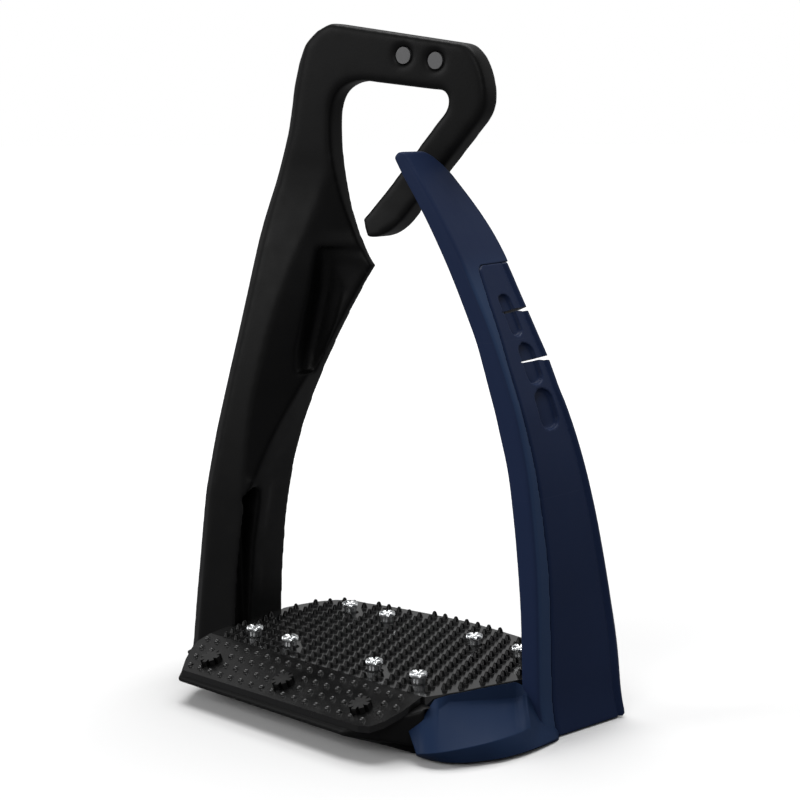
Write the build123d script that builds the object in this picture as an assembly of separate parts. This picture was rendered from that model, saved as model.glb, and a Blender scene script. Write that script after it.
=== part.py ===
from build123d import *
import os
from math import sin, cos, tan, radians

# Safety stirrup iron with a flexible outer arm.
# Millimetres, +Z up. The origin is on the flat underside of the footbed, below the
# middle of the tread. X runs along the frame plane, from the rigid branch (-X) to the
# flexible arm (+X). -Y is the front, with the toe-side ramp; +Y is the back (heel).
# The footbed is drawn square in its own tread frame, then yawed about Z into place.

os.makedirs("parts", exist_ok=True)

# ---- driving dimensions ----
TREAD_YAW = 15.0                    # the footbed is turned this much under the frame plane
TREAD_Z = 17.0                      # top face of the tread pad
PAD_T = 2.6                         # tread pad thickness
PAD_BASE_Z = TREAD_Z - PAD_T
RAMP_ANGLE = 20.0                   # the front ramp falls away at this angle
RAMP_T = 1.8                        # ramp pad thickness, square to the slope
RAMP_T_UPRIGHT = RAMP_T / cos(radians(RAMP_ANGLE))
RAMP_Y = -34.1                      # where the tread turns into the ramp (tread frame)
LIP_Y = -52.4                       # front lip of the ramp (tread frame)
COVER_RECESS_Z = 2.2                # depth of the underside cover's recess

BAR_FRONT, BAR_BACK = 2.6, 11.0     # y faces of the top bar and hook
CORE_FRONT, CORE_BACK = 6.2, 9.2    # y faces of the steel core inside them
PIN_R = 2.5                         # leather-bar pins
PIN_PLACES = [(3.1, 197.9), (14.3, 196.1)]      # x, z

ARM_Y = -17.5                       # front face of the flexible arm
SEAM_GAP = 0.12                     # joint line between the arm's sleeve and its panel
HINGE_ROOT_Z = 26.0                 # the arm flexes here, at the lower and at the upper slit
LOWER_SLIT_Z, LOWER_HALF_GAP = 107.9, 0.45
UPPER_SLIT_Z, UPPER_HALF_GAP = 122.0, 0.40
PANEL_TOP = 136.5                   # above this the arm is one solid moulding
TIP_BASE = PANEL_TOP + 0.15
ARM_TOP = 169.5
FOOT_BASE, FOOT_TOP = 5.0, HINGE_ROOT_Z - 1.0

# ---- fastener places, in the tread frame ----
PAD_SCREWS = [(-30.0, 3.0), (-1.5, -8.0), (-1.5, 14.0), (30.0, 3.0)]            # x, y
COVER_SCREWS = [(-14.5, -12.0), (-14.5, 17.5), (14.5, -12.0), (14.5, 17.5)]     # x, y
STUDS = [(-36.4, -26.4), (-19.0, -26.4), (19.4, -26.0), (38.4, -26.0),          # x, y
         (-38.4, 15.6), (-20.2, 15.6), (19.8, 15.6), (39.4, 15.6)]
STUD_SEAT_Z = TREAD_Z - 0.6         # the stud heads sit this low in the pad
STUD_HOLE_R = 1.6
RAMP_STUDS_X = [-34.4, 0.6, 35.0]
RAMP_STUD_Y = -45.2
RAMP_STUD_HOLE_R = 1.3
BOLTS = [(10.0, 9.2), (22.0, 9.2)]  # y, z of the blade bolts
BOLT_HOLE_R = 2.1

ALONG_X, ALONG_Y, ALONG_Z = (1, 0, 0), (0, 1, 0), (0, 0, 1)
YAW = Rot(0, 0, -TREAD_YAW)         # puts a tread-frame shape in its place


# ================================================================ helpers
def save(name, *shapes):
    solids = [solid for shape in shapes for solid in shape.solids()]
    result = solids[0] if len(solids) == 1 else Compound(children=solids)
    export_step(result, f"parts/{name}.step")


def at_height(z, table):
    """Columns after the first of [(z, ...), ...], interpolated at z."""
    if z <= table[0][0]:
        return table[0][1:]
    for low, high in zip(table, table[1:]):
        if z <= high[0]:
            share = (z - low[0]) / (high[0] - low[0])
            return tuple(a + share * (b - a) for a, b in zip(low[1:], high[1:]))
    return table[-1][1:]


def rectangle(x0, x1, y0, y1):
    return [(x0, y0), (x1, y0), (x1, y1), (x0, y1)]


def polygon(points):
    return Face(Wire.make_polygon(points, close=True))


def stack(levels):
    """Ruled solid through polygons [(z, [(x, y), ...]), ...]."""
    return loft([polygon([(x, y, z) for x, y in points]) for z, points in levels], ruled=True)


def prism_x(points, x0, x1):
    return extrude(polygon([(x0, y, z) for y, z in points]), amount=x1 - x0, dir=ALONG_X)


def prism_y(points, y0, y1):
    return extrude(polygon([(x, y0, z) for x, z in points]), amount=y1 - y0, dir=ALONG_Y)


def prism_z(points, z0, z1):
    return extrude(polygon([(x, y, z0) for x, y in points]), amount=z1 - z0, dir=ALONG_Z)


def curve_prism(curves, direction, length):
    """Solid from a closed chain of curves."""
    chain = Wire([edge for curve in curves for edge in curve.edges()])
    return extrude(Face(chain), amount=length, dir=direction)


def on_plane(points, y):
    return [(x, y, z) for x, z in points]


def rod(start, axis, radius, length):
    return extrude(Plane(origin=start, z_dir=axis) * Circle(radius), amount=length)


def drill(shape, places, *bores):
    """Upright tread-frame bores (z, radius, length) at each place (x, y)."""
    for x, y in places:
        for z, radius, length in bores:
            shape -= YAW * rod((x, y, z), ALONG_Z, radius, length)
    return shape


def drill_bolts(shape, x, radius, length):
    for y, z in BOLTS:
        shape -= YAW * rod((x, y, z), ALONG_X, radius, length)
    return shape


# ---- the ramp's slope ----
RAMP_NORMAL = (0, -sin(radians(RAMP_ANGLE)), cos(radians(RAMP_ANGLE)))


def ramp_z(y):
    return TREAD_Z + (y - RAMP_Y) * tan(radians(RAMP_ANGLE))


def over_ramp_stud(x, lift):
    """Point on a ramp stud's axis, lift above the ramp's face."""
    return (x, RAMP_STUD_Y + RAMP_NORMAL[1] * lift, ramp_z(RAMP_STUD_Y) + RAMP_NORMAL[2] * lift)


def drill_ramp(shape, lift, length):
    for x in RAMP_STUDS_X:
        shape -= YAW * rod(over_ramp_stud(x, lift), RAMP_NORMAL, RAMP_STUD_HOLE_R, length)
    return shape


# ================================================================ rigid branch, top bar, hook
# x, z outlines in the frame plane
BRANCH_OUTER = [(-75.4, 6), (-74.6, 14), (-72.9, 30.4), (-69.7, 58.0), (-66.1, 79.0),
                (-61.2, 100.3), (-55.7, 127.0), (-51.2, 147.9), (-46.4, 161.5),
                (-41.9, 175.5), (-39.5, 189.2)]
BAR_TOP = [(-39.5, 189.2), (-37.2, 197.0), (-34.0, 202.4), (-29.2, 206.4), (-23.4, 208.5),
           (24.0, 200.9)]
HOOK_BEND = [(24.0, 200.9), (27.5, 198.0), (30.6, 191.5), (31.5, 184.6), (29.2, 178.5)]
HOOK_OUTER = [(29.2, 178.5), (3.2, 149.4)]
HOOK_TIP = [(3.2, 149.4), (-1.6, 145.2), (-7.0, 143.2), (-11.2, 143.9), (-12.3, 146.6),
            (-10.4, 149.8)]
HOOK_INNER = [(-10.4, 149.8), (15.4, 178.9)]
EYE_RIGHT = [(15.4, 178.9), (18.1, 182.4), (18.4, 185.2), (16.9, 187.0), (14.0, 187.5)]
BAR_UNDERSIDE = [(14.0, 187.5), (-9.0, 190.35)]
EYE_LEFT = [(-9.0, 190.35), (-16.6, 190.1), (-21.4, 187.2), (-23.5, 182.0), (-23.9, 176.0)]
ABOVE_KNEE = [(-13.2, 133.8), (-17.2, 141.2), (-19.9, 149.0), (-22.2, 160.0),
              (-23.6, 170.0), (-23.9, 176.0)]
BELOW_KNEE = [(-13.2, 133.8), (-20.6, 123.3), (-30.8, 106.9), (-41.6, 86.3), (-48.9, 66.0),
              (-53.3, 42.3), (-55.4, 20.0), (-55.6, 6.0)]
BRANCH_FOOT = [(-55.6, 6.0), (-75.4, 6.0)]
FRAME_OUTLINE = [
    (Spline, BRANCH_OUTER), (Polyline, BAR_TOP), (Spline, HOOK_BEND), (Polyline, HOOK_OUTER),
    (Spline, HOOK_TIP), (Polyline, HOOK_INNER), (Spline, EYE_RIGHT), (Polyline, BAR_UNDERSIDE),
    (Spline, EYE_LEFT), (Spline, ABOVE_KNEE), (Spline, BELOW_KNEE), (Polyline, BRANCH_FOOT)]

# z, front y, back y of the branch and bar
BRANCH_DEPTH = [(0, -9.4, 18.0), (17, -8.8, 17.8), (60, -8.0, 17.0), (100, -4.5, 15.0),
                (140, 0.6, 12.2), (158, BAR_FRONT, BAR_BACK), (170, BAR_FRONT, BAR_BACK)]
DEPTH_TOP_Z = 220
DEPTH_X0, DEPTH_LENGTH = -90, 140

# z, x of the outer edge: up the branch, then round the shoulder into the bar
OUTER_BRANCH_X = [(z, x) for x, z in BRANCH_OUTER]
OUTER_SHOULDER_X = [(189.2, -39.5), (197.0, -37.2), (202.4, -34.0), (206.4, -29.2),
                    (208.4, -24.4)]
CHAMFER_Z = (4, 20, 40, 60, 80, 100, 120, 140, 160, 175, 189.2, 198.0, 202.6, 208.4, 209.5)

# z, x at the branch's inner front edge, x at the gusset's thin inner edge
GUSSET = [(56, -52.0, -51.2), (66, -51.6, -48.9), (75, -51.0, -46.4), (84, -50.2, -43.4),
          (92, -49.1, -38.8), (103.6, -46.6, -32.6), (113, -44.2, -27.0),
          (121.5, -41.6, -21.9), (133.8, -37.0, -13.2), (145, -32.2, -18.6),
          (156, -27.4, -21.4), (166, -24.2, -23.2)]
GUSSET_EDGE_Y = 8.4                 # front face where the gusset is thinnest
# z, x from, x to, depth
GUSSET_RELIEF = [(99, -38.6, -35.6, 1.4), (106, -38.0, -31.8, 3.2), (116, -35.4, -27.2, 4.0),
                 (126, -32.4, -24.0, 4.0), (134, -30.6, -25.4, 3.0), (139.5, -29.4, -27.2, 1.2)]
# y, z outline of the relief in the branch's inner face
INNER_SLOT = [(-6.4, 10), (-5.6, 59.5), (-3.9, 61.8), (-1.2, 62.8), (1.5, 61.8), (3.2, 59.5),
              (2.4, 10)]
INNER_SLOT_X = -58.6
# x, z outline of the branch's root, rolling under into the footbed
ROOT = [(-75.4, 6.0), (-74.2, 2.6), (-71.6, 0.6), (-68.0, 0.0), (-40.0, 0.0), (-40.0, 11.0),
        (-55.6, 11.0), (-55.6, 6.4), (-75.4, 6.4), (-75.4, 6.0)]
ROOT_FRONT, ROOT_BACK = -9.2, 17.9


def outer_chamfer():
    """Cutter for the long chamfer down the outer front edge; it fades out over the shoulder."""
    levels = []
    for z in CHAMFER_Z:
        x = at_height(z, OUTER_BRANCH_X if z < 189 else OUTER_SHOULDER_X)[0]
        front = at_height(z, BRANCH_DEPTH)[0]
        fade = 1.0 if z < 196 else max(0.12, (209.5 - z) / 13.5)
        back = front + 3.4 * fade
        levels.append((z, [(x - 6, front - 6), (x + 5.0 * fade, front - 6),
                           (x + 5.0 * fade, front - 0.3), (x - 0.3, back), (x - 6, back)]))
    return stack(levels)


def gusset_front():
    """Cutter for the slanted front: full depth at the branch, thin at the inner edge."""
    levels = []
    for z, branch_x, edge_x in GUSSET:
        front = at_height(z, BRANCH_DEPTH)[0]
        share = max(0.0, min(1.0, (edge_x - branch_x - 0.8) / 15.0))
        edge_y = front + 0.35 + share * (GUSSET_EDGE_Y - front)
        levels.append((z, [(branch_x, front - 4), (branch_x, front + 0.05), (edge_x, edge_y),
                           (edge_x + 8, edge_y), (edge_x + 8, front - 4)]))
    return stack(levels)


def gusset_relief():
    levels = []
    for z, x0, x1, depth in GUSSET_RELIEF:
        front, back = at_height(z, BRANCH_DEPTH)
        floor = back - 7.0 + depth
        levels.append((z, [(x0, front - 2), (x1, front - 2), (x1, floor), (x0, floor - 1.0)]))
    return stack(levels)


def branch_and_bar():
    plate = curve_prism([curve(*on_plane(points, -30.0)) for curve, points in FRAME_OUTLINE],
                        ALONG_Y, 70.0)
    z0, z1 = BRANCH_DEPTH[0][0], BRANCH_DEPTH[-1][0]
    front0, back0 = BRANCH_DEPTH[0][1:]
    depth = curve_prism([
        Spline(*[(DEPTH_X0, front, z) for z, front, _ in BRANCH_DEPTH]),
        Polyline((DEPTH_X0, BAR_FRONT, z1), (DEPTH_X0, BAR_FRONT, DEPTH_TOP_Z),
                 (DEPTH_X0, BAR_BACK, DEPTH_TOP_Z), (DEPTH_X0, BAR_BACK, z1)),
        Spline(*[(DEPTH_X0, back, z) for z, _, back in reversed(BRANCH_DEPTH)]),
        Polyline((DEPTH_X0, back0, z0), (DEPTH_X0, front0, z0)),
    ], ALONG_X, DEPTH_LENGTH)
    body = plate & depth
    body -= outer_chamfer()
    body -= gusset_front()
    body -= gusset_relief()
    slot = prism_x(INNER_SLOT, INNER_SLOT_X, -40)
    body -= slot & prism_z(rectangle(-60, -40, -12, 12), TREAD_Z, 70)
    return body


# ================================================================ footbed (tread frame)
# x, y outline of the footbed; it runs on into the branch at -X
FOOTBED = [(-49.9, RAMP_Y), (-50.6, -38.9), (-49.2, -42.5), (-45.4, -48.0), (-41.4, -53.4),
           (60.0, -53.4), (60.0, -30.0), (56.8, -6.5), (56.8, 16.0), (54.8, 23.7),
           (50.6, 27.8), (43.7, 28.8), (35.0, 31.0), (24.6, 32.7), (12.5, 34.0), (0, 34.8),
           (-12.5, 34.0), (-24.6, 32.4), (-35.0, 30.8), (-43.7, 28.5), (-50.7, 27.7),
           (-60.0, 27.6), (-60.0, 0.0), (-54.8, -16.5), (-53.4, -24.0)]
# y, z side profile of the footbed
FOOTBED_SIDE = [(37, PAD_BASE_Z), (RAMP_Y, PAD_BASE_Z), (RAMP_Y, TREAD_Z - RAMP_T_UPRIGHT),
                (LIP_Y - 0.2, ramp_z(LIP_Y - 0.2) - RAMP_T_UPRIGHT), (LIP_Y - 0.8, 7.4),
                (LIP_Y - 0.2, 6.5), (-20.0, 0.0), (24.0, 0.0), (33.0, 4.2), (37, 9.5)]
# z, x-y outlines of the front corner at +X, which comes down to the ground
CORNER = [(0, [(45.0, -34.0), (47.8, -35.8), (52.6, -25.0), (54.0, -15.0), (34.0, -15.0),
               (34.0, -21.0)]),
          (6.5, [(34.8, -52.9), (38.4, -49.8), (52.0, -36.6), (54.0, -15.0), (34.0, -15.0),
                 (34.0, -52.6)])]
CAVITIES_X = [(-44, -18), (-11, 11), (18, 42)]      # ribs stay between these
CAVITY_Y = (-14, 20)
CAVITY_TOP = 9.6
COVER_X0, COVER_X1, COVER_Y0, COVER_Y1 = -48, 46.5, -17.5, 22.5
COVER_GAP = 0.15
# x, y outline of the seat for the shoe, round the outer front corner
SHOE_SEAT = [(35.0, -53.6), (38.6, -50.2), (52.2, -36.5), (53.4, -24.0), (54.8, -14.0),
             (56.6, -2.8), (57.2, -2.8), (80, -2.8), (80, -70), (35.0, -70)]
# x, z outline of the leather bar's steel core
CORE = [(-26.0, 203.4), (26.4, 195.2), (28.6, 190.0), (28.4, 184.4), (26.2, 180.0),
        (5.0, 156.4), (1.4, 159.4), (21.4, 181.6), (22.4, 186.0), (18.6, 190.6),
        (-10.0, 194.0), (-22.0, 194.6)]


def main_frame():
    body = branch_and_bar()
    footbed = prism_x(FOOTBED_SIDE, -70, 70)
    footbed = YAW * (footbed & prism_z(FOOTBED, -1, 30))
    root = curve_prism([Polyline(*on_plane(ROOT, ROOT_FRONT))], ALONG_Y, ROOT_BACK - ROOT_FRONT)
    corner = YAW * stack(CORNER)
    body = body + footbed + root + corner

    # hollow underside and the recess for its cover
    for x0, x1 in CAVITIES_X:
        body -= YAW * prism_z(rectangle(x0, x1, *CAVITY_Y), COVER_RECESS_Z, CAVITY_TOP)
    recess = rectangle(COVER_X0 - COVER_GAP, COVER_X1 + COVER_GAP,
                       COVER_Y0 - COVER_GAP, COVER_Y1 + COVER_GAP)
    body -= YAW * prism_z(recess, -1, COVER_RECESS_Z)

    body -= YAW * prism_z(SHOE_SEAT, -1, 30)
    body = drill_bolts(body, 44.5, 2.95, 20)        # seats for the blade inserts

    # slot for the leather bar core, open at the back, and stepped holes for its pins
    body -= prism_y(CORE, CORE_FRONT, CORE_FRONT + 20)
    for x, z in PIN_PLACES:
        body -= rod((x, 0, z), ALONG_Y, PIN_R, 20)
        body -= rod((x, 0, z), ALONG_Y, PIN_R + 0.7, BAR_FRONT + 0.6)

    # (z, radius, length) of each kind of hole
    body = drill(body, STUDS, (PAD_BASE_Z - 4.2, STUD_HOLE_R, 10))
    body = drill(body, PAD_SCREWS, (2.0, 1.35, 20))
    body = drill_ramp(body, -RAMP_T - 3.2, 8)
    return drill(body, COVER_SCREWS, (0, 1.0, 8))


# ================================================================ leather bar
def bar_layer(y0, y1):
    layer = prism_y(CORE, y0, y1)
    for x, z in PIN_PLACES:
        layer -= rod((x, 0, z), ALONG_Y, PIN_R, 20)
    return layer


def bar_pin(x, z):
    inset = 0.2
    return rod((x, BAR_FRONT + inset, z), ALONG_Y, PIN_R, BAR_BACK - BAR_FRONT - 2 * inset)


# ================================================================ tread and ramp pads
# x, y outlines (tread frame)
PAD = [(-49.3, RAMP_Y), (49.6, RAMP_Y), (51.2, -29.0), (52.6, -22.6), (53.8, -14.0),
       (55.2, -6.5), (56.4, -1.5), (56.6, 8.0), (56.4, 16.0), (54.6, 23.6), (50.4, 27.6),
       (43.7, 28.6), (35.0, 30.8), (24.6, 32.5), (12.5, 33.8), (0, 34.6), (-12.5, 33.8),
       (-24.6, 32.2), (-35.0, 30.6), (-43.7, 28.2), (-50.6, 27.4), (-55.0, 23.6),
       (-57.4, 18.2), (-58.5, 12.0), (-58.9, 5.0), (-58.0, -1.5), (-56.0, -8.6),
       (-54.2, -16.5), (-52.8, -24.0)]
RAMP = [(-49.5, RAMP_Y), (-50.0, -38.8), (-48.6, -42.2), (-44.8, -47.6),
        (-40.6, LIP_Y + 0.2), (40.8, LIP_Y + 0.6), (44.6, -50.8), (47.0, -47.6),
        (48.4, -42.0), (48.6, RAMP_Y)]
# x, y ground the arm's foot takes from the pad (frame axes)
ARM_GROUND = [(54.2, -18.0), (72, -18.0), (82, 24), (63.8, 24)]


def top_tread_pad():
    pad = YAW * prism_z(PAD, PAD_BASE_Z, TREAD_Z)
    # the pad stops against the branch and against the arm
    pad -= prism_z(rectangle(-80, -55.45, -9.6, 18.4), 5, 40)
    pad -= stack([(z, ARM_GROUND) for z in (0, 40)])
    pad = drill(pad, STUDS, (PAD_BASE_Z - 1, STUD_HOLE_R, 10), (STUD_SEAT_Z, 2.9, 5))
    return drill(pad, PAD_SCREWS, (PAD_BASE_Z - 1, 1.1, 3.1))


def front_ramp_pad():
    front = LIP_Y - 2
    layer = prism_x([(RAMP_Y, TREAD_Z - RAMP_T_UPRIGHT), (RAMP_Y, TREAD_Z),
                     (front, ramp_z(front)), (front, ramp_z(front) - RAMP_T_UPRIGHT)], -60, 60)
    pad = YAW * (prism_z(RAMP, 0, 40) & layer)
    return drill_ramp(pad, -6, 12)


# ================================================================ studs and screws
def tread_stud(x, y):
    """Shank, hexagonal body and round head with a dished, notched top."""
    hexagon_h, head_h = 3.0, 1.2
    head_z = STUD_SEAT_Z + hexagon_h
    head_top = head_z + head_h
    stud = rod((x, y, PAD_BASE_Z - 4.0), ALONG_Z, 1.5, 6.0)
    stud += extrude(Pos(x, y, STUD_SEAT_Z) * RegularPolygon(2.5, 6), amount=hexagon_h)
    stud += rod((x, y, head_z), ALONG_Z, 2.6, head_h)
    stud -= Pos(x, y, head_top + 0.3) * Cone(0.2, 2.2, 1.8)
    for k in range(4):
        stud -= Pos(x, y, head_top) * Rot(0, 0, 45 * k + 20) * Box(6, 0.9, 1.0)
    return YAW * stud


def ramp_stud(x):
    """Shank and round head crossed by four bars."""
    shank_depth = 3.0
    shank = rod(over_ramp_stud(x, -RAMP_T - shank_depth), RAMP_NORMAL, 1.2,
                shank_depth + RAMP_T + 0.2)
    seat = Plane(origin=over_ramp_stud(x, 0.05), z_dir=RAMP_NORMAL, x_dir=ALONG_X)
    head = extrude(seat * Circle(2.0), amount=1.5)
    for k in range(4):
        head += extrude(seat * Rot(0, 0, 45 * k + 12) * Rectangle(6.6, 1.5), amount=1.9)
    return YAW * (shank + head)


def pad_screw(x, y):
    """Slotted screw, from the roof of the underside up into the pad."""
    head_z = 7.6
    screw = rod((x, y, 8.2), ALONG_Z, 1.05, 8.0) + rod((x, y, head_z), ALONG_Z, 2.4, 1.95)
    screw -= Pos(x, y, head_z) * Box(0.8, 3.2, 1.6)
    return YAW * screw


def underside_cover():
    cover = prism_z(rectangle(COVER_X0, COVER_X1, COVER_Y0, COVER_Y1), 0, 2.1)
    for x, y in COVER_SCREWS:
        cover -= rod((x, y, -1), ALONG_Z, 1.2, 5)
        cover -= Pos(x, y, 0.6) * Cone(2.4, 1.2, 1.2)
        cover -= rod((x, y, -1), ALONG_Z, 2.4, 1.0)
    return YAW * cover


def cover_screw(x, y):
    screw = rod((x, y, 0.6), ALONG_Z, 0.95, 6.6) + Pos(x, y, 0.65) * Cone(2.2, 1.0, 1.1)
    screw -= Pos(x, y, 0.2) * Box(3.0, 0.7, 0.9)
    return YAW * screw


# ================================================================ flexible arm
# z, inner x and outer x of the front face, turn of the section (degrees), its depth
ARM = [(0, 54.7, 60.7, 15.0, 37.3), (12, 54.7, 60.6, 15.0, 36.3), (25, 54.6, 60.4, 13.6, 35.7),
       (35, 54.4, 60.3, 12.1, 34.6), (50, 53.4, 59.8, 10.2, 32.8), (65, 51.9, 58.5, 8.4, 31.4),
       (80, 49.7, 56.5, 6.5, 29.9), (88, 47.7, 54.8, 5.5, 29.0), (95, 45.9, 53.1, 4.5, 28.0),
       (101, 44.1, 51.1, 3.8, 27.3), (107.9, 42.05, 48.6, 3.0, 27.3),
       (115, 39.8, 45.9, 2.0, 26.7), (122.0, 36.9, 42.9, 1.7, 26.1),
       (129, 33.9, 39.6, 1.5, 25.8), (135, 31.2, 36.4, 1.3, 25.5), (140, 28.6, 33.7, 1.1, 25.2),
       (145, 25.9, 30.7, 0.9, 24.8), (150, 23.1, 27.6, 0.7, 23.8), (155, 20.1, 24.5, 0.5, 22.4),
       (160, 16.9, 21.2, 0.4, 20.4), (162, 15.5, 19.9, 0.3, 19.3), (165, 13.4, 18.0, 0.2, 19.3),
       (ARM_TOP, 10.9, 15.4, 0.0, 18.8)]
# z, distance of the sleeve-panel seam behind the front face
SEAM = [(0, 5.6), (50, 5.4), (80, 3.9), (95, 3.0), (107.9, 3.3), (125, 5.2), (137, 7.6)]
# z, front and back edge of the spring blade behind the front face
BLADE = [(0, 8.0, 30.0), (25, 7.0, 29.0), (50, 5.0, 22.0), (80, 3.2, 13.4), (95, 2.6, 9.6),
         (150, 2.6, 9.4)]
# the blade's place as shares of the arm's thickness, and the slot round it
BLADE_IN, BLADE_OUT = 0.34 + 0.02, 0.60 - 0.02
SLOT_IN, SLOT_OUT = 0.34 - 0.01, 0.60 + 0.01
PANEL_IN, PANEL_STEP = 0.34 + 0.01, 0.60 + 0.03     # inner faces behind and beside the blade
SLOT_FRONT_GAP, SLOT_BACK_GAP = 0.1, 0.12
# rounded reliefs in the panels' outer face: z from, z to, front and back distance
RELIEFS = [(115.9, 127.8, 11.2, 17.4), (101.9, 113.6, 11.4, 19.4), (88.9, 100.4, 11.6, 20.8)]
RELIEF_DEPTH = 0.36                 # share of the thickness


def arm_at(z, s, t):
    """Point of the arm's section: s back from the front face, t = 0 inner .. 1 outer face."""
    x_inner, x_outer, turn, _ = at_height(z, ARM)
    return (x_inner + t * (x_outer - x_inner) + s * sin(radians(turn)),
            ARM_Y + s * cos(radians(turn)))


def arm_stack(z0, z1, section):
    """Solid from z0 to z1 through section(z, depth, seam, blade_front, blade_back)."""
    heights = [z0] + [row[0] for row in ARM if z0 + 0.4 < row[0] < z1 - 0.4] + [z1]
    levels = []
    for z in heights:
        points = section(z, at_height(z, ARM)[3], at_height(z, SEAM)[0], *at_height(z, BLADE))
        levels.append((z, [arm_at(z, s, t) for s, t in points]))
    return stack(levels)


def sleeve_section(z, depth, seam, blade_front, blade_back):
    slot_front = blade_front - SLOT_FRONT_GAP
    # a hair of slope where the seam comes near or in front of the slot
    seam_t = 0.60 + 0.011 if seam < slot_front + 0.2 else SLOT_OUT
    return [(0, 0.12), (0.7, 0), (depth - 0.8, 0), (depth, 0.12), (depth, SLOT_IN),
            (slot_front, SLOT_IN), (slot_front, SLOT_OUT), (seam, seam_t), (seam, 1.0),
            (0.5, 1.0), (0, 0.90)]


def panel_section(z, depth, seam, blade_front, blade_back):
    front = seam + SEAM_GAP
    step = max(blade_back + SLOT_BACK_GAP, front + 1.0)
    return [(front, PANEL_STEP), (step, PANEL_STEP), (step, PANEL_IN), (depth, PANEL_IN),
            (depth, 0.93), (depth - 0.9, 1.02), (depth - 3.0, 1.02), (depth - 3.6, 0.97),
            (front + 0.9, 1.0), (front, 0.93)]


def blade_section(z, depth, seam, blade_front, blade_back):
    return rectangle(blade_front, blade_back, BLADE_IN, BLADE_OUT)


def slot_section(z, depth, seam, blade_front, blade_back):
    return rectangle(blade_front - SLOT_FRONT_GAP, blade_back + SLOT_BACK_GAP, SLOT_IN, SLOT_OUT)


def tip_section(z, depth, seam, blade_front, blade_back):
    return [(0, 0.12), (0.7, 0), (depth - 0.8, 0), (depth, 0.12), (depth, 0.9),
            (depth - 0.6, 1.0), (0.5, 1.0), (0, 0.90)]


def panel_cavity_section(z, depth, seam, blade_front, blade_back):
    return rectangle(seam, depth + 1.0, SLOT_OUT, 1.05)


def blade_cavity_section(z, depth, seam, blade_front, blade_back):
    return rectangle(blade_front - SLOT_FRONT_GAP, depth + 1.0, SLOT_IN, 0.60 + 0.1)


def panel_relief(z0, z1, front, back):
    r = (back - front) / 2 - 0.2
    outer, floor_front, floor_back = 1.4, 1 - RELIEF_DEPTH, 1 - RELIEF_DEPTH * 0.55
    levels = []
    for z, inset in [(z0, 0.62 * r), (z0 + 0.35 * r, 0.24 * r), (z0 + r, 0),
                     (z1 - r, 0), (z1 - 0.35 * r, 0.24 * r), (z1, 0.62 * r)]:
        corners = [(front + inset, floor_front), (back - inset, floor_back),
                   (back - inset, outer), (front + inset, outer)]
        levels.append((z, [arm_at(z, s, t) for s, t in corners]))
    return stack(levels)


def slit(z, half_gap, start, drop_start, drop_back):
    """Wedge cut from inside the arm's depth out to its back edge, wider at the back."""
    y0, y1 = start + ARM_Y, 40.0
    return prism_x([(y0, z + half_gap), (y1, z + half_gap), (y1, z - drop_back),
                    (y0, z - drop_start)], 10, 90)


def arm_tip():
    """Solid moulding round the end of the blade, with its nose cut on a slant."""
    tip = arm_stack(TIP_BASE, ARM_TOP, tip_section)
    tip -= arm_stack(PANEL_TOP + 0.1, 150.4, slot_section)
    nose = [(5, 160.8), (5, 175), (18.5, 175), (5, 160.8)]
    tip -= curve_prism([Polyline(*on_plane(nose, -30))], ALONG_Y, 40)
    return tip


def save_arm():
    lower = (HINGE_ROOT_Z + 1.0, LOWER_SLIT_Z - LOWER_HALF_GAP)
    middle = (LOWER_SLIT_Z + LOWER_HALF_GAP, UPPER_SLIT_Z - UPPER_HALF_GAP)
    upper_base = UPPER_SLIT_Z + UPPER_HALF_GAP
    lower_slit = slit(LOWER_SLIT_Z, LOWER_HALF_GAP, 11.4, 0.5, 1.9)
    upper_slit = slit(UPPER_SLIT_Z, UPPER_HALF_GAP, 11.2, 0.4, 2.1)
    reliefs = [panel_relief(*relief) for relief in RELIEFS]
    # name, sleeve span, panel span, slit in its top
    for name, sleeve_span, panel_span, wedge in [
            ("lower", lower, lower, lower_slit),
            ("middle", middle, middle, upper_slit),
            ("upper", (upper_base, TIP_BASE), (upper_base, PANEL_TOP), None)]:
        sleeve = arm_stack(*sleeve_span, sleeve_section)
        panel = arm_stack(*panel_span, panel_section)
        for relief in reliefs:
            panel = panel - relief
        if wedge is None:
            sleeve = sleeve + arm_tip()
        else:
            sleeve, panel = sleeve - wedge, panel - wedge
        save(f"arm_sleeve_{name}", sleeve)
        save(f"arm_panel_{name}", panel)


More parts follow.
